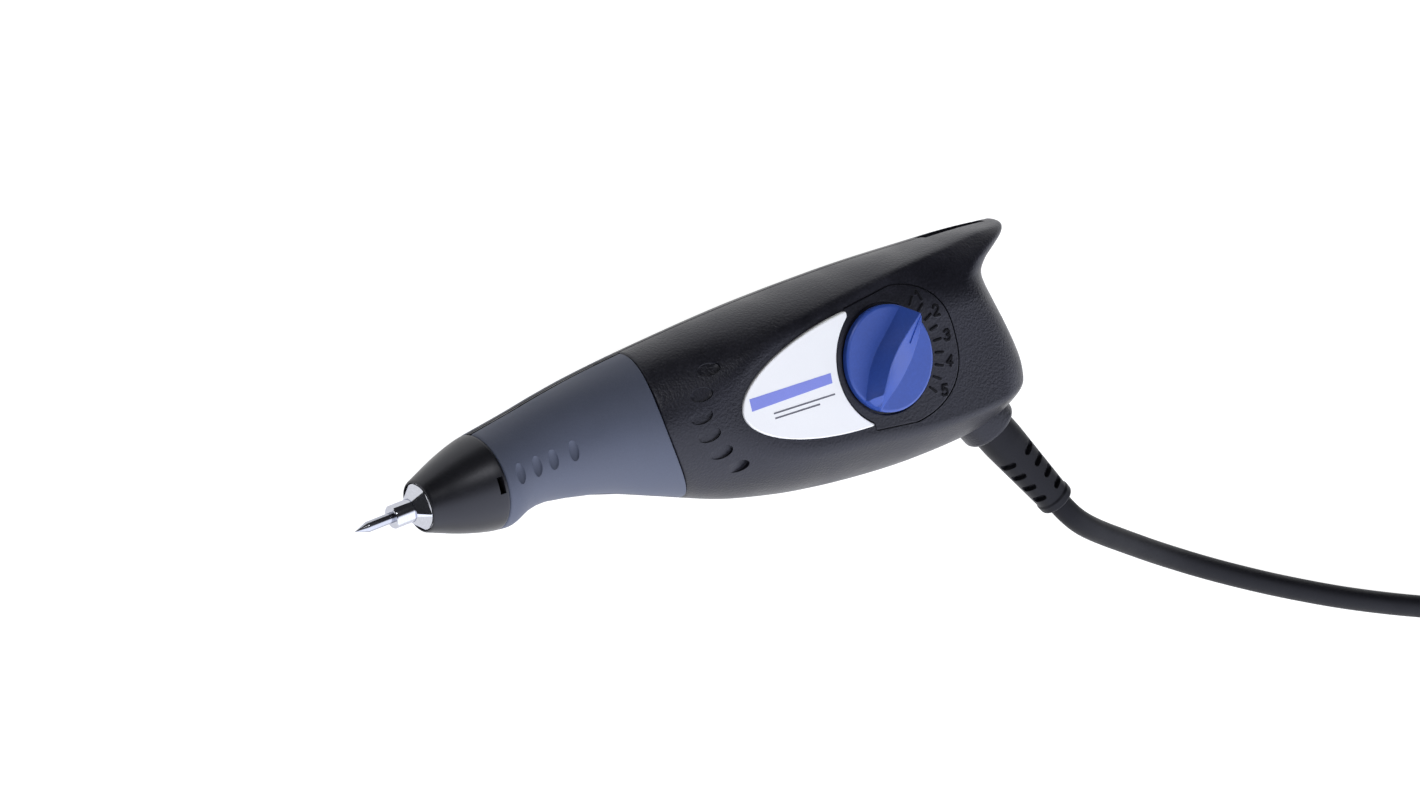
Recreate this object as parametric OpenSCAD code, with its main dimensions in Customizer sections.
// Mains-powered reciprocating engraver, lying on its flat right side with its stroke dial up.
// The tool's own axes: x runs from the engraving point's tip to the tail, y up to the tail
// hook and z out through the stroke dial. lay() moves them to the frame the part is used in.

/* [Overall] */
// Length from the point's tip to the end of the tail hook
tool_length = 196.3; // [194:0.1:200]
// Distance from the middle plane to each flat side of the body
flat_half = 17.2; // [16.6:0.1:18]
// Wall thickness of the two housing halves
wall = 2.2; // [1.8:0.1:2.6]

/* [Point and chuck] */
// Diameter of the engraving point
point_d = 2.5; // [2:0.1:3]
// Diameter of the tool holder in front of the chuck nut
holder_d = 5.5; // [5:0.1:6]
// Width across the flats of the chuck nut
nut_width = 9.6; // [9:0.1:10]
// Diameter of the hammer shaft
shaft_d = 6; // [5.6:0.1:6.2]

/* [Stroke dial] */
// Diameter of the stroke dial
dial_d = 25.8; // [24:0.1:26.2]
// Height of the dial's grip ridge above the body's flat side
ridge_height = 5.8; // [5:0.1:7]
// Travel of the stroke slider between settings 1 and 5
stroke_travel = 1.5; // [1:0.1:1.8]

/* [Cord] */
// Diameter of the mains cord
cord_d = 6; // [5.6:0.1:6]
// Diameter of the strain relief at the housing
relief_big_d = 11; // [10.4:0.1:11.2]
// Diameter of the strain relief at its free end
relief_small_d = 8.4; // [8:0.1:9]

/* [Hidden] */
$fn = 48;
fit = 0.02;          // gap between parts that are pressed or glued together
run = 0.05;          // radial gap of a running fit
middle_x = 98.15;    // the frame's origin, half way along the tool
middle_y = -10.45;   // and half way between the top edge and the cord boss

// Side outline and sections of the body. Columns: place along the tool, top edge, bottom edge,
// level of the widest line, half width there, fullness of the belly, inward lean near the top.
STATIONS = [
    [35, 11.6, -11.6, 0, 11.5, 2, 0],
    [38, 12, -11.7, 0.2, 11.6, 2, 0],
    [43, 12.7, -10, 1.2, 11, 2, 0],
    [48, 13.4, -9.5, 1.6, 11.1, 2, 0],
    [56, 14.6, -10.8, 1.6, 12, 2, 0],
    [66, 15.8, -13.3, 1, 13.4, 2, 0],
    [80, 16.9, -18.6, -0.5, 15.4, 2, 0],
    [95, 17.7, -24.4, -1.5, 17.9, 2, 0],
    [105, 18.1, -27.2, -2.6, 20.2, 2, 0.2],
    [117, 18.4, -29.8, -3.7, 22.2, 1.9, 0.9],
    [134, 18.4, -32.2, -4.5, 23.8, 1.8, 2.1],
    [151, 18, -33.4, -4.8, 26, 1.8, 3.1],
    [170, 17, -33, -5, 27.5, 1.8, 5.5],
    [184, 16.2, -30.5, -5, 27.5, 1.8, 8],
    [197, 15, -28, -5, 27.5, 1.8, 9],
];
// Rear outline of the body: height, place along the tool. The tail hook is the last part.
TAIL = [
    [-34, 178.2], [-31.5, 182], [-28, 185.6], [-24, 187.8], [-19, 188.6], [-14, 188],
    [-8, 186.6], [-2, 184.9], [3, 183.7], [6, 184.2], [8.5, 187.2], [10.5, 191.5],
    [12.2, 195], [13.6, 196.3], [14.8, 195.6], [16, 192],
];
// Rear outline of the hollow inside, which stops short of the tail hook
HOLLOW_END = [[-32, 176], [-24, 184.5], [-12, 184], [-4, 178], [2, 170], [16, 168.5]];
tail_start = 150;    // behind this the sections lean over to follow the tail
tail_round = 14;     // rounding of the tail seen from above
crease_blend = 1.2;  // softness of the edge around the flat side
rings_rear = [0.22, 0.4, 0.56, 0.7, 0.8, 0.88, 0.94, 0.98, 1];
arc_steps = 20;      // steps round half a section

// The soft grip: its rear edge is a shallow bow, and a rib of the housing shows at the seam
grip_skin = 1.2;
grip_front = 35;
grip_edge_x = 77.5;
grip_bow = 0.0135;
seam_rib = 1;

// Smooth curve through column c of a table, at x
function clamp(v, low, high) = min(max(v, low), high);
function row_of(t, x, i = 0) = (i >= len(t) - 2 || x < t[i + 1][0]) ? i : row_of(t, x, i + 1);
function slope(t, i, c) =
    let (a = max(i - 1, 0), b = min(i + 1, len(t) - 1))
    (t[b][c] - t[a][c]) / (t[b][0] - t[a][0]);
function curve(t, x_any, c) =
    let (
        x = clamp(x_any, t[0][0], t[len(t) - 1][0]),
        i = row_of(t, x),
        h = t[i + 1][0] - t[i][0],
        u = (x - t[i][0]) / h
    )
    (2 * u ^ 3 - 3 * u ^ 2 + 1) * t[i][c] + (u ^ 3 - 2 * u ^ 2 + u) * h * slope(t, i, c)
    + (3 * u ^ 2 - 2 * u ^ 3) * t[i + 1][c] + (u ^ 3 - u ^ 2) * h * slope(t, i + 1, c);
function soft_min(a, b, r) =
    let (h = clamp(0.5 + 0.5 * (b - a) / r, 0, 1))
    b * (1 - h) + a * h - r * h * (1 - h);

// A station is [place along the tool, share of the grip's bow, share of the tail's outline].
// Height of the skin at angle t from the top seam, inset by w
function level(x, t, w) =
    let (m = curve(STATIONS, x, 3))
    t <= 90
        ? m + (curve(STATIONS, x, 1) - w - m) * cos(t)
        : m + (m - curve(STATIONS, x, 2) - w) * cos(t);
function place(s, y, tail) =
    s[2] > 0
        ? s[0] + s[2] * (curve(tail, y, 1) - s[0])
        : s[0] + s[1] * grip_bow * (y - 4) ^ 2;
function settle(s, t, w, tail, x, n) =
    n == 0 ? x : settle(s, t, w, tail, place(s, level(x, t, w), tail), n - 1);
function half_width(x, y, t, w) =
    let (
        n = t <= 90 ? 2 : curve(STATIONS, x, 5),
        u = abs(cos(t)),
        round_part = (curve(STATIONS, x, 4) - w) * max(1 - u ^ n, 0) ^ (1 / n),
        flat_part = flat_half - w - curve(STATIONS, x, 6) * (max(y, 0) / 15) ^ 2
    )
    max(soft_min(round_part, flat_part, crease_blend), 0);
function skin(s, t, w, tail) =
    let (
        x = settle(s, t, w, tail, s[0], 6),
        y = level(x, t, w),
        back = clamp((curve(tail, y, 1) - x) / tail_round, 0, 1),
        rounding = s[2] > 0 ? sqrt(max(1 - (1 - back) ^ 2, 0)) : 1,
        z = (t <= 0 || t >= 180) ? 0 : half_width(x, y, t, w) * rounding
    )
    [x, y, z];

// Angle at which the skin of station s is seam_rib away from the middle plane
function rib_angle(s) = asin(seam_rib / curve(STATIONS, s[0], 4));
function angles(s) =
    let (r = rib_angle(s))
    [0, r, r + 1, for (k = [1:arc_steps - 1]) 180 * k / arc_steps, 179 - r, 180 - r, 180];

front_stations = [
    [35, 0, 0], [36.5, 0, 0], [38, 0, 0], [40, 0, 0], [42, 0, 0], [45, 0.1, 0], [49, 0.2, 0],
    [54, 0.35, 0], [60, 0.5, 0], [66, 0.7, 0], [72, 0.9, 0], [grip_edge_x, 1, 0],
];
body_stations = [
    [grip_edge_x + 0.15, 1, 0], [82, 0.85, 0], [88, 0.6, 0], [94, 0.35, 0], [100, 0.15, 0], [106, 0, 0],
    [112, 0, 0], [120, 0, 0], [130, 0, 0], [140, 0, 0], [tail_start, 0, 0],
];
rear_stations = [for (r = rings_rear) [tail_start, 0, r]];
shell_stations = concat(front_stations, body_stations, rear_stations);

// The housing's skin lies under the grip, apart from the rib at each seam
function under_grip(i, j, last) = i < len(front_stations) && j >= 2 && j <= last - 2;
function outer_ring(i) =
    let (s = shell_stations[i], a = angles(s), last = len(a) - 1)
    [for (j = [0:last]) skin(s, a[j], under_grip(i, j, last) ? grip_skin : 0, TAIL)];
function inner_inset(x) = wall + grip_skin * clamp((92 - x) / 12, 0, 1) * 0.75;
function inner_ring(i) =
    let (s = shell_stations[i])
    [for (t = angles(s)) skin(s, t, inner_inset(s[0]), HOLLOW_END)];

// Faces of a closed solid between two grids of the same size, listed one after the other
function sheet(m, n, base, flip) = [
    for (i = [0:m - 2])
        for (j = [0:n - 2])
            let (a = base + i * n + j, b = a + 1, c = a + n, d = c + 1)
            for (f = flip ? [[a, c, b], [b, c, d]] : [[a, b, c], [b, d, c]]) f
];
function bridge(line, gap, flip) = [
    for (k = [0:len(line) - 2])
        let (a = line[k], b = line[k + 1])
        for (f = flip ? [[a, a + gap, b], [b, a + gap, b + gap]] : [[a, b, a + gap], [b, b + gap, a + gap]]) f
];
module thick_skin(outer, inner) {
    m = len(outer);
    n = len(outer[0]);
    gap = m * n;
    points = [for (r = outer) for (p = r) p, for (r = inner) for (p = r) p];
    faces = concat(
        sheet(m, n, 0, true),
        sheet(m, n, gap, false),
        bridge([for (j = [0:n - 1]) j], gap, false),
        bridge([for (j = [0:n - 1]) (m - 1) * n + j], gap, true),
        bridge([for (i = [0:m - 1]) i * n], gap, true),
        bridge([for (i = [0:m - 1]) i * n + n - 1], gap, false)
    );
    polyhedron(points = points, faces = faces, convexity = 8);
}

// Places used by more than one part
dial_x = 142;
dial_y = -4.4;
boss_x = 180.2;
boss_y = -35.1;
relief_x = 194.2;
relief_y = -58.3;
relief_length = norm([relief_x - boss_x, relief_y - boss_y]);
relief_turn = atan2(relief_y - boss_y, relief_x - boss_x);
boss_r = 7.3;
boss_back = 1.2;
boss_bore_r = relief_big_d / 2 + 0.15;
// Housing screws: place and how far each post reaches from the middle plane
screw_places = [[72, 7.5, 8.9], [95, -17, 9.5], [128, 10, 13.9], [128, -24, 10.7], [174, -12, 14.6]];
screw_r = 1.2;
screw_head_r = 2.2;
screw_post_r = 3.4;
core_screw_places = [[104.5, -15.2], [114.5, -15.2]];
core_post_top = 14.7;
clamp_reach = [-18, -13];
clamp_mid = (clamp_reach[0] + clamp_reach[1]) / 2;
clamp_holes = [-5.8, 5.8];
clamp_post_depth = 14;

module lay() {
    translate([-middle_x, -middle_y, flat_half]) children();
}
// Along the hammer's axis: a cylinder from a to b, and a tube
module rod(r, a, b) {
    translate([a, 0, 0]) rotate([0, 90, 0]) cylinder(r = r, h = b - a);
}
module tube(r_out, r_in, a, b) {
    difference() {
        rod(r_out, a, b);
        rod(r_in, a - 1, b + 1);
    }
}
module post(r, x, y, a, b) {
    translate([x, y, a]) cylinder(r = r, h = b - a);
}
// Along the cord's exit, measured from the boss's face outwards; children point along +X
module along_relief() {
    translate([boss_x, boss_y, 0]) rotate([0, 0, relief_turn]) children();
}
// Half of a body of revolution about the hammer's axis, on the dial's side
module half_round() {
    rotate([0, 90, 0]) rotate([0, 0, 90]) rotate_extrude(angle = 180) children();
}

// Outline of the name plate: a pointed oval, cut back by an arc that follows the dial
plate_tip_x = 97.8;
plate_end_x = 133.4;
plate_half = 14.4;
plate_y = -4.2;
plate_long = 40;
plate_power = 1.9;
function plate_edge(x) =
    plate_half * (1 - ((plate_tip_x + plate_long - x) / plate_long) ^ plate_power) ^ (1 / plate_power);
plate_xs = [for (k = [1:16]) plate_tip_x + (plate_end_x - plate_tip_x) * (k / 16) ^ 2];
module plate_outline(grow) {
    translate([0, plate_y]) difference() {
        polygon(concat(
            [[plate_tip_x - grow, 0]],
            [for (x = plate_xs) [x + grow * (x == plate_end_x ? 1 : 0), plate_edge(x) + grow]],
            [for (k = [15:-1:0]) [plate_xs[k] + grow * (k == 15 ? 1 : 0), -plate_edge(plate_xs[k]) - grow]]
        ));
        translate([143.2, -0.5]) circle(r = 16.6 - grow, $fn = 96);
    }
}

// One housing half, on the dial's side of the middle plane, without its own openings
module half_housing() {
    m = len(shell_stations);
    thick_skin([for (i = [0:m - 1]) outer_ring(i)], [for (i = [0:m - 1]) inner_ring(i)]);
    // Spigot that carries the nose cone and the front bush
    half_round() translate([6.6, 27]) square([1.4, 8]);
    half_round() translate([7.9, 31.5]) square([1.4, 4]);
    // Boss round the cord's exit
    along_relief() half_round_boss();
    for (p = screw_places) post(screw_post_r, p[0], p[1], 0, p[2]);
}
module half_round_boss() {
    difference() {
        rotate([0, -90, 0]) rotate([0, 0, -90]) rotate_extrude(angle = 180)
            translate([boss_bore_r - 0.5, boss_back]) square([boss_r - boss_bore_r + 0.5, 8 - boss_back]);
        translate([-9, 0, 0]) rotate([0, 90, 0]) cylinder(r = boss_bore_r, h = 10);
    }
}
// What both halves give up: the hanging slot, the relief's bore and the nose cone's seat
hang_half = 2.5;
module shared_openings() {
    linear_extrude(height = hang_half)
        polygon([
            [172, 20], [173.5, 13], [181, 1.5], [183, -0.5], [187, 0], [188.5, 6], [191.5, 13], [192, 20],
        ]);
    along_relief() rotate([0, 90, 0]) {
        translate([0, 0, -9]) cylinder(r = boss_bore_r, h = 12);
        translate([0, 0, -9.9]) cylinder(r = flange_r + 0.15, h = 1.9);
    }
}
flange_r = 6.6;

module housing_left() {
    color("#2c2d33") lay() difference() {
        union() {
            half_housing();
            for (p = core_screw_places) post(3, p[0], p[1], 7.7 + 2 * fit, core_post_top);
            post(3.5, 127.5, 0, 5.5 + fit, 15.5);
        }
        shared_openings();
        post(dial_hub_r + run, dial_x, dial_y, 10, 20);
        post(dial_d / 2 + 0.4, dial_x, dial_y, dial_seat, 20);
        translate([0, 0, plate_seat]) linear_extrude(height = 4) plate_outline(0.1);
        for (p = screw_places) post(screw_r + run, p[0], p[1], -1, p[2] - 1.5);
        for (p = core_screw_places) post(screw_r + run, p[0], p[1], 7, 13.6);
    }
}

module housing_right() {
    color("#2a2b31") lay() difference() {
        union() {
            mirror([0, 0, 1]) half_housing();
            along_relief() for (y = clamp_holes)
                translate([clamp_mid, y, -clamp_post_depth]) cylinder(r = 2.4, h = clamp_post_depth);
        }
        mirror([0, 0, 1]) shared_openings();
        for (p = screw_places) {
            post(screw_r + run, p[0], p[1], -20, 1);
            post(screw_head_r + 0.15, p[0], p[1], -20, screw_head_z(p));
        }
        along_relief() for (y = clamp_holes)
            translate([clamp_mid, y, -8]) cylinder(r = 1.1 + run, h = 9);
        // Seat and slot of the switch slider, and seat of the rating plate
        translate([148.5, -13.2, -flat_half - 1]) cube([15, 10.4, 2.4]);
        translate([151.7, -10, -flat_half - 1]) cube([8.4, 4, 4]);
        translate([104, -13, -flat_half - 1]) cube([34, 14, 1.3]);
    }
}
function screw_head_z(p) = -(p[2] - 2.6);
module housing_screws() {
    color("#b9bcc2") lay() for (p = screw_places) {
        post(screw_r, p[0], p[1], screw_head_z(p) - 0.5, p[2] - 2);
        difference() {
            post(screw_head_r, p[0], p[1], screw_head_z(p) - 1.6, screw_head_z(p) - fit);
            translate([p[0] - 1.6, p[1] - 0.3, screw_head_z(p) - 3]) cube([3.2, 0.6, 2.3]);
            translate([p[0] - 0.3, p[1] - 1.6, screw_head_z(p) - 3]) cube([0.6, 3.2, 2.3]);
        }
    }
}

// Soft grip on one half
module half_grip() {
    m = len(front_stations) - 1;
    outer = [for (i = [0:m]) let (s = shell_stations[i], a = angles(s))
        [for (j = [2:len(a) - 3]) skin(s, a[j], 0, TAIL)]];
    inner = [for (i = [0:m]) let (s = shell_stations[i], a = angles(s))
        [for (j = [2:len(a) - 3]) skin(s, a[j], grip_skin - fit, TAIL)]];
    translate([-fit, 0, 0]) thick_skin(outer, inner);
}
module grip_left() {
    color("#565b69") lay() half_grip();
}
module grip_right() {
    color("#565b69") lay() mirror([0, 0, 1]) half_grip();
}

// Nose cone with the two snap windows near its rear rim
cone_front = 17.4;
cone_rear = 34.9;
module nose_cone() {
    color("#1d1e21") lay() difference() {
        rotate([0, 90, 0]) rotate_extrude($fn = 96) polygon([
            [5.75, cone_front], [6.1, cone_front + 0.15], [6.35, cone_front + 0.7], [7.7, 21.5], [8.55, 23.7],
            [9.35, 26], [10.15, 28.6], [10.8, 31], [11.3, 33.2], [11.5, cone_rear],
            [9.45, cone_rear], [9.45, 31.2], [8.15, 26.8], [6.2, 21.8],
            [3.7, 21.8], [3.7, 20.4], [5.75, 20.4],
        ]);
        for (s = [-1, 1]) translate([32.7, -2, s > 0 ? 8.8 : -13.8]) cube([1.4, 4, 5]);
    }
}

plate_seat = flat_half - 1;
module name_plate() {
    color("#e9ebf0") lay() translate([0, 0, plate_seat + fit]) linear_extrude(height = 1.5) plate_outline(0);
}
module rating_plate() {
    color("#b8bcc4") lay() translate([104.2, -12.8, -flat_half + 0.02]) cube([33.6, 13.6, 0.26]);
}

// Point, holder, nut and shaft: everything that strikes
module engraving_point() {
    color("#c9ccd2") lay() {
        r = point_d / 2;
        rotate([0, 90, 0]) rotate_extrude()
            polygon([[0, 0], [0.12, 0.1], [r, 3.4], [r, 20], [0, 20]]);
    }
}
// Back of the holder's head, where the shaft starts; nut's front and back
holder_back = 15.6;
nut_front = 14.9;
nut_back = 18.8;
module tool_holder() {
    color("#d5d8dd") lay() difference() {
        rotate([0, 90, 0]) rotate_extrude() polygon([
            [0, 9.9], [holder_d / 2 - 0.35, 9.9], [holder_d / 2, 10.25], [holder_d / 2, holder_back],
            [2, holder_back], [2, 22], [0, 22],
        ]);
        rod(point_d / 2 + fit, 9, 20 + fit);
    }
}
module chuck_nut() {
    color("#d9dce1") lay() difference() {
        intersection() {
            translate([nut_front - 0.1, 0, 0]) rotate([0, 90, 0]) rotate([0, 0, 20])
                cylinder(r = nut_width / sqrt(3), h = nut_back - nut_front + 0.2, $fn = 6);
            rotate([0, 90, 0]) rotate_extrude()
                polygon([
                    [0, nut_front], [3.2, nut_front], [5.6, 17.2], [5.6, 18.4], [5.2, nut_back], [0, nut_back],
                ]);
        }
        rod(holder_d / 2 + fit, 14, holder_back + fit);
        rod(shaft_d / 2 + fit, holder_back, 20);
    }
}
module hammer_shaft() {
    color("#aeb2b9") lay() difference() {
        union() {
            rod(shaft_d / 2, holder_back + fit, 80);
            rod(5.5, 38, 40.4);
            rod(2, 80, 88);
        }
        rod(2 + fit, 15, 22 + fit);
    }
}
module plunger() {
    color("#8d9097") lay() difference() {
        rod(4.5, 80, 106);
        rod(2 + fit, 79, 88 + fit);
        rod(1.5 + fit, 100 - fit, 107);
    }
}
module push_rod() {
    color("#c8b070") lay() rod(1.5, 100, 126);
}
module spring_washer() {
    color("#b0b3b8") lay() tube(3.6, 1.5 + fit, 120, 121.2);
}
// Return spring: rings joined into one solid, between the washer and the slider
spring_front = 121.2;
spring_rear = 129;
module return_spring() {
    color("#9a9da3") lay() rotate([0, 90, 0]) rotate_extrude() polygon(concat(
        [[2.4, spring_front + fit], [3.1, spring_front + fit]],
        [for (k = [0:6]) for (q = [[3.35, 0.2], [3.35, 0.75], [3.05, 0.95]])
            [q[0], spring_front + q[1] + k * 1.05]],
        [[3.1, spring_rear], [2.4, spring_rear]]
    ));
}
module front_bush() {
    color("#b08a4e") lay() tube(6.55, shaft_d / 2 + run, 28, 34);
}
module front_buffer() {
    color("#232427") lay() tube(6.5, shaft_d / 2 + 0.4, 34, 37);
}

// Electromagnet
core_front = 84;
core_rear = 118;
module core_laminations() {
    color("#6d7078") lay() difference() {
        translate([core_front, -11.8, -6.5]) cube([core_rear - core_front, 23.6, 13]);
        translate([core_front + 4, -9.2, -8]) cube([core_rear - core_front - 8, 18.4, 16]);
        rod(5.5, core_front - 1, core_front + 5);
        rod(4.6 + fit, core_rear - 5, core_rear + 1);
    }
}
module pole_piece() {
    color("#7d8087") lay() tube(4.55, 1.6, 108, core_rear);
}
module coil_bobbin() {
    color("#e6dfcf") lay() difference() {
        union() {
            rod(5.4, core_front + 4.1, core_rear - 4.1);
            rod(9, core_front + 4.1, core_front + 5.3);
            rod(9, core_rear - 5.3, core_rear - 4.1);
        }
        rod(4.6, core_front, core_rear);
    }
}
module coil_winding() {
    color("#a8562b") lay() tube(8.7, 5.4 + fit, core_front + 5.3 + fit, core_rear - 5.3 - fit);
}
module core_bracket() {
    color("#9fa3ab") lay() difference() {
        union() {
            translate([core_front + 4, -11.8, 6.5 + fit]) cube([core_rear - core_front - 4, 23.6, 1.2]);
            for (p = core_screw_places) translate([p[0] - 3.5, -18.7, 6.5 + fit]) cube([7, 8, 1.2]);
        }
        for (p = core_screw_places) post(screw_r + run, p[0], p[1], 6, 9);
        translate([core_front + 3, -9.2, 5]) cube([core_rear - core_front - 7, 18.4, 4]);
    }
}
module core_screws() {
    color("#b9bcc2") lay() for (p = core_screw_places) {
        post(screw_r, p[0], p[1], 6, 13);
        post(2.3, p[0], p[1], 5, 6.5);
    }
}

// Stroke dial, with its cam inside the housing
dial_hub_r = 4;
dial_seat = flat_half - 0.8;
dial_low = flat_half - 0.6;
dial_rim = flat_half + 1.5;
module stroke_dial() {
    color("#2d4f9e") lay() translate([dial_x, dial_y, 0]) {
        translate([0, 0, dial_low]) rotate_extrude($fn = 96) polygon([
            [0, 0], [dial_d / 2, 0], [dial_d / 2, 1.7], [dial_d / 2 - 0.4, 2.1],
            [10, 2.7], [6, 3.2], [0, 3.4],
        ]);
        intersection() {
            rotate([0, 0, 43.7]) translate([-dial_d / 2 + 1.4, -2.6, dial_low + 1])
                cube([dial_d - 2.4, 5.2, ridge_height - 0.4]);
            translate([0, 0, dial_low]) rotate_extrude($fn = 96) polygon([
                [0, 0], [12.4, 0], [12.2, 3], [10.6, 5], [7, 6], [0, ridge_height + 0.6],
            ]);
        }
        difference() {
            translate([0, 0, 3.5]) cylinder(r = dial_hub_r, h = dial_low - 3.4);
            translate([0, 0, 3]) cylinder(r = 1.2 + fit, h = 9);
        }
    }
}
// Spiral cam: its radius falls by stroke_travel over a quarter turn
cam_r = 6.5;
function cam_radius(a) =
    a <= 95 ? cam_r - stroke_travel * a / 90
    : a < 180 ? cam_r - stroke_travel * 95 / 90 : cam_r - stroke_travel * 95 / 90 * (360 - a) / 180;
module dial_cam() {
    color("#d8d4c4") lay() translate([dial_x, dial_y, 0]) difference() {
        union() {
            translate([0, 0, -3]) linear_extrude(height = 6)
                polygon([for (a = [0:5:355]) cam_radius(a) * [cos(180 + a), sin(180 + a)]]);
            translate([0, 0, 2.9]) cylinder(r = 5.2, h = 11.6);
        }
        translate([0, 0, 3.5 - fit]) cylinder(r = dial_hub_r + fit, h = 20);
        translate([0, 0, -4]) cylinder(r = 1.2 + fit, h = 10);
    }
}
module cam_screw() {
    color("#b9bcc2") lay() {
        post(1.2, dial_x, dial_y, -3.2, 11.5);
        post(2.4, dial_x, dial_y, -4.6, -3 - fit);
    }
}
module friction_washer() {
    color("#a5a8ae") lay() difference() {
        post(6.6, dial_x, dial_y, 14.6, 14.9);
        post(dial_hub_r + 0.2, dial_x, dial_y, 14, 16);
    }
}
// Slider that sets the spring's load; its rear plate rides on the cam
slider_front = 129;
slider_face = 133.8;
cam_gap = 0.3;
module stroke_slider() {
    color("#efe9dc") lay() {
        translate([slider_front + fit, -4, -4]) cube([slider_face - slider_front + 0.1, 8, 8]);
        translate([slider_face, -9, -4]) cube([dial_x - cam_r - cam_gap - slider_face, 13, 8]);
    }
}
module slider_guide() {
    color("#9fa3ab") lay() difference() {
        translate([123, -5.5, -5.5]) cube([10.4, 11, 11]);
        translate([122, -4.2, -4.2]) cube([13, 8.4, 8.4]);
    }
}

// Slide switch on the right half
module switch_slider() {
    color("#17181a") lay() difference() {
        union() {
            translate([152.8, -12.4, -flat_half + 0.15]) cube([10, 8.8, 1.1]);
            translate([156.6, -9.8, -flat_half + 1.2]) cube([3, 3.6, 4]);
        }
        for (k = [0:3]) translate([154.3 + k * 2.1, -13, -flat_half - 0.1]) cube([0.7, 10, 0.55]);
    }
}
module switch_body() {
    color("#3a3b3f") lay() difference() {
        translate([146, -14, -14.6]) cube([17, 11, 8.7]);
        translate([151.7, -10.2, -16]) cube([8.4, 4.4, 5]);
    }
}
module switch_terminals() {
    color("#c9a24d") lay() for (x = [149.5, 155, 160.5])
        translate([x - 0.4, -10.4, -5.9 + fit]) cube([0.8, 4.8, 4.4]);
}
// Round wire or cord along a route: one ring of points at each place
function unit(v) = v / norm(v);
function heading(p, i) = unit(p[min(i + 1, len(p) - 1)] - p[max(i - 1, 0)]);
function route_ring(p, i, r, sides) =
    let (d = heading(p, i), u = unit(cross(abs(d[2]) > 0.9 ? [0, 1, 0] : [0, 0, 1], d)), v = cross(d, u))
    [for (k = [0:sides - 1]) p[i] + r * (cos(360 * k / sides) * u + sin(360 * k / sides) * v)];
module swept(p, r, sides) {
    n = len(p);
    polyhedron(
        points = [for (i = [0:n - 1]) for (q = route_ring(p, i, r, sides)) q],
        faces = concat(
            [[for (k = [0:sides - 1]) k]],
            [for (i = [0:n - 2]) for (k = [0:sides - 1])
                let (a = i * sides + k, b = i * sides + (k + 1) % sides, c = a + sides, d = b + sides)
                for (f = [[a, c, b], [b, c, d]]) f],
            [[for (k = [sides - 1:-1:0]) (n - 1) * sides + k]]
        )
    );
}
// Points between the given ones, on a smooth curve through them
function at(p, i) = p[clamp(i, 0, len(p) - 1)];
function between(p, steps) = [
    for (i = [0:len(p) - 2]) for (k = [0:steps - 1])
        let (u = k / steps, m0 = (at(p, i + 1) - at(p, i - 1)) / 2, m1 = (at(p, i + 2) - p[i]) / 2)
        (2 * u ^ 3 - 3 * u ^ 2 + 1) * p[i] + (u ^ 3 - 2 * u ^ 2 + u) * m0
        + (3 * u ^ 2 - 2 * u ^ 3) * p[i + 1] + (u ^ 3 - u ^ 2) * m1,
    p[len(p) - 1],
];
live_wire = [
    [168.45, -18.34, 0], [167, -16, -0.2], [162, -14.6, -1], [155, -14.8, -1], [150.5, -13.4, -1.4],
    [149.5, -10.8, -2.4],
];
coil_wire = [
    [155, -10.88, -2.9], [153.5, -13.5, -4.2], [148, -17.5, -6], [140, -19.5, -8], [132, -18, -9.5],
    [124, -17.5, -9.5], [118, -11, -10], [112.5, -4.5, -9.8], [109, -3, -9],
];
return_wire = [
    [170.85, -16.94, 0], [169.4, -14.6, 1], [163, -18, 2], [150, -21, 1], [136, -20.5, -3], [124, -19, -5.5],
    [112, -17.5, -8.5], [103, -14, -10], [98, -8, -10], [94.5, -3, -9],
];
module lead_wires() {
    color("#7a4a2c") lay() {
        swept(between(live_wire, 3), 0.8, 6);
        swept(between(coil_wire, 3), 0.8, 6);
        swept(between(return_wire, 3), 0.8, 6);
    }
}

// Cord entry: sheathed end inside, clamp, and the moulded relief outside
module inner_lead() {
    color("#1c1d20") lay() along_relief() rotate([0, 90, 0])
        translate([0, 0, -20]) cylinder(r = cord_d / 2, h = 10.1);
}
module cord_clamp() {
    color("#3b3c41") lay() along_relief() difference() {
        translate([clamp_reach[0], -8, fit]) cube([clamp_reach[1] - clamp_reach[0], 16, 5]);
        translate([-20, 0, 0]) rotate([0, 90, 0]) cylinder(r = cord_d / 2 + fit, h = 15);
        for (y = clamp_holes)
            translate([clamp_mid, y, -1]) cylinder(r = 1.1 + run, h = 9);
    }
}
module clamp_screws() {
    color("#b9bcc2") lay() along_relief() for (y = clamp_holes)
        translate([clamp_mid, y, 0]) {
            translate([0, 0, -7]) cylinder(r = 1.1, h = 12.5);
            translate([0, 0, 5 + 2 * fit]) cylinder(r = 2.1, h = 1.4);
        }
}
// Relief: round, tapered, with four rings of four slots
slot_rows = 4;
slot_pitch = 4.3;
slot_first = 8;
slot_depth = 1.3;
module strain_relief() {
    color("#26272b") lay() along_relief() rotate([0, 90, 0]) difference() {
        rotate_extrude($fn = 64) polygon([
            [0, -9.85], [flange_r, -9.85], [flange_r, -8.15], [relief_big_d / 2, -8.15],
            [relief_big_d / 2, 4], [relief_small_d / 2, relief_length - 0.6],
            [relief_small_d / 2 - 0.5, relief_length], [0, relief_length],
        ]);
        for (k = [0:slot_rows - 1])
            for (a = [69, 159, 249, 339])
                rotate([0, 0, a])
                    translate([relief_big_d / 2 - slot_depth - 0.12 * k, -2, slot_first + k * slot_pitch])
                        cube([4, 4, 1.3]);
    }
}

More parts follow.
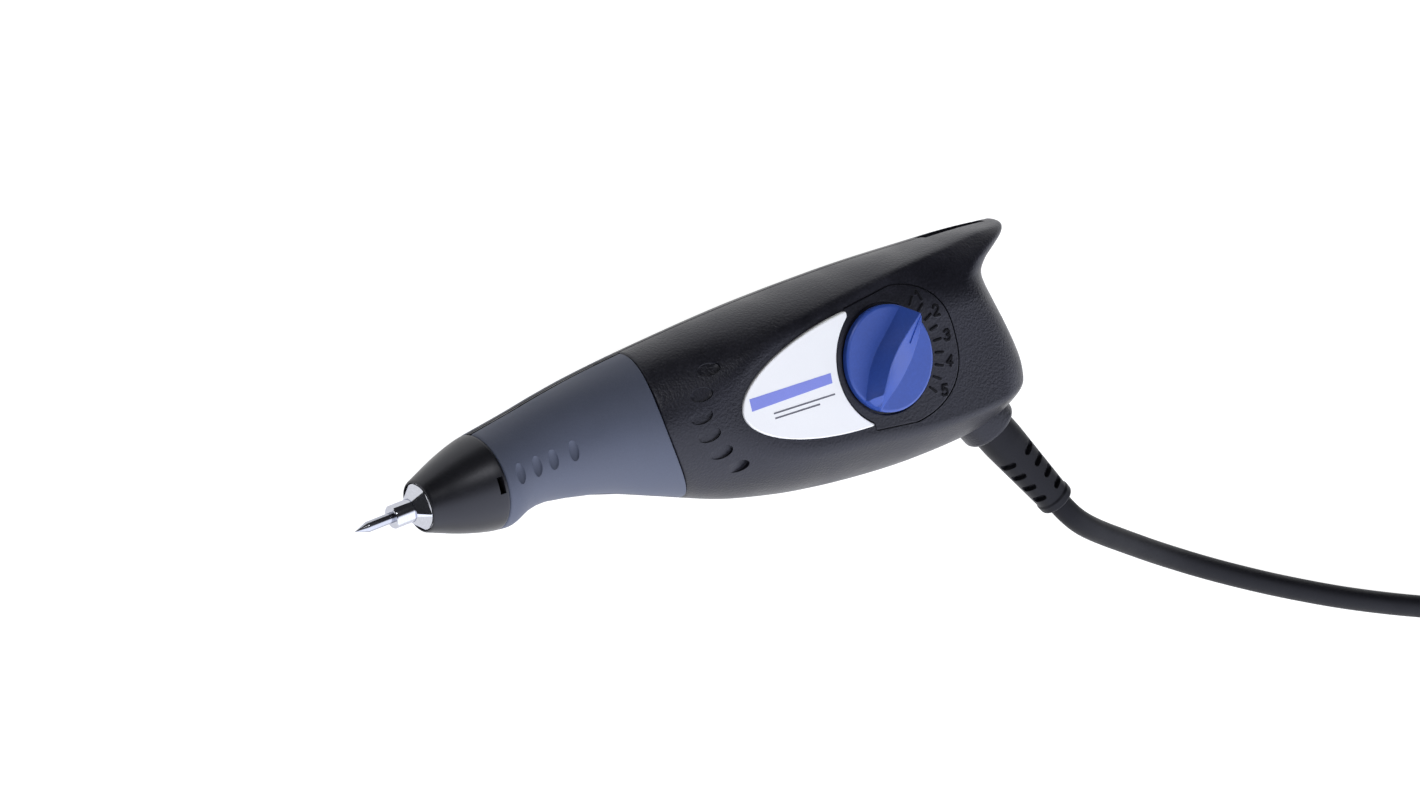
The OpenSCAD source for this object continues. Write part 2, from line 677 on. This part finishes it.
// Free cord, in the frame the part is used in: down to the table, away to the right and into a
// tied coil, with the plug beside it
cord_r = cord_d / 2;
CORD_ROUTE = [
    [96.05, -47.85, 17.2], [97.6, -50.4, 17.1], [99.8, -53.3, 16.8], [102.7, -56.1, 16], [106.4, -58.9, 14.8],
    [111.2, -62, 13], [117, -65.5, 10.8], [123.5, -69.4, 8.4], [130.6, -73.7, 6.2], [138.6, -78.5, 4.4],
    [147.4, -83.8, 3.4], [158, -90, 3], [172, -97.8, 3], [190, -107.1, 3], [208, -115.5, 3], [226, -123.2, 3],
    [242, -129.8, 3.1], [256, -135.4, 3.4], [268.7, -140.3, 3.8],
];
coil_x = 286;
coil_y = -102;
coil_low = 0.8;
coil_out_r = 45;
coil_in_r = 21;
coil_high = 2 * cord_d;
// Leaves the coil's upper outer turn and runs down to the plug
PLUG_ROUTE = [
    [327.4, -109.3, 9.8], [329, -98, 9.3], [330.7, -87.5, 8.2], [332.2, -78, 7.2], [333.6, -69.5, 7],
];
plug_turn = 80.5;
plug_x = 333.6;
plug_y = -69.5;
plug_mid = 7;
module power_cord() {
    color("#2e2f33") swept(between(CORD_ROUTE, 2), cord_r, 10);
}
module cord_coil() {
    color("#2e2f33") translate([coil_x, coil_y, coil_low]) rotate_extrude($fn = 96)
        translate([coil_in_r, 0]) polygon([
            [1.5, 0], [22.5, 0], [24, 1.5], [24, 10.5], [22.5, 12], [1.5, 12], [0, 10.5], [0, 1.5],
        ]);
}
tie_turn = 60;
module cord_tie() {
    color("#17181a") translate([coil_x, coil_y, 0]) rotate([0, 0, tie_turn]) difference() {
        translate([coil_in_r - 0.8, -2.5, 0]) cube([25.6, 5, coil_high + 1.6]);
        translate([coil_in_r - fit, -4, coil_low - fit]) cube([24 + 2 * fit, 8, coil_high + 2 * fit]);
    }
}
module plug_lead() {
    color("#2e2f33") swept(between(PLUG_ROUTE, 2), cord_r, 10);
}
// Two-pin plug: a waisted flat body and two round pins
pin_r = 2;
pin_length = 19;
pin_tip = 0.8;
pin_root = 8;
pin_root_r = 1.6;
pin_apart = 18.6;
plug_long = 36;
module at_plug() {
    translate([plug_x, plug_y, plug_mid]) rotate([0, 0, plug_turn]) children();
}
module plug_body() {
    color("#2a2b2f") at_plug() difference() {
        union() {
            translate([10, 0, -6.8]) linear_extrude(height = 13.6) polygon([
                [0, -6], [4, -9.5], [10, -12.6], [20, -14.4], [26, -17.6],
                [26, 17.6], [20, 14.4], [10, 12.6], [4, 9.5], [0, 6],
            ]);
            rotate([0, 90, 0]) cylinder(r = 4.4, h = 12);
        }
        for (s = [-1, 1]) translate([plug_long - pin_root, s * pin_apart / 2, 0]) rotate([0, 90, 0])
            cylinder(r = pin_root_r + fit, h = pin_root + 1);
    }
}
module plug_pins() {
    color("#c6c9ce") at_plug() for (s = [-1, 1])
        translate([plug_long, s * pin_apart / 2, 0]) rotate([0, 90, 0]) rotate_extrude() polygon([
            [0, fit - pin_root], [pin_root_r, fit - pin_root], [pin_root_r, 0], [pin_r, 0],
            [pin_r, pin_length - pin_tip], [pin_r - pin_tip, pin_length], [0, pin_length],
        ]);
}

housing_left();
housing_right();
grip_left();
grip_right();
nose_cone();
name_plate();
rating_plate();
housing_screws();
engraving_point();
tool_holder();
chuck_nut();
hammer_shaft();
plunger();
push_rod();
spring_washer();
return_spring();
front_bush();
front_buffer();
core_laminations();
pole_piece();
coil_bobbin();
coil_winding();
core_bracket();
core_screws();
stroke_dial();
dial_cam();
cam_screw();
friction_washer();
stroke_slider();
slider_guide();
switch_slider();
switch_body();
switch_terminals();
lead_wires();
inner_lead();
cord_clamp();
clamp_screws();
strain_relief();
power_cord();
cord_coil();
cord_tie();
plug_lead();
plug_body();
plug_pins();
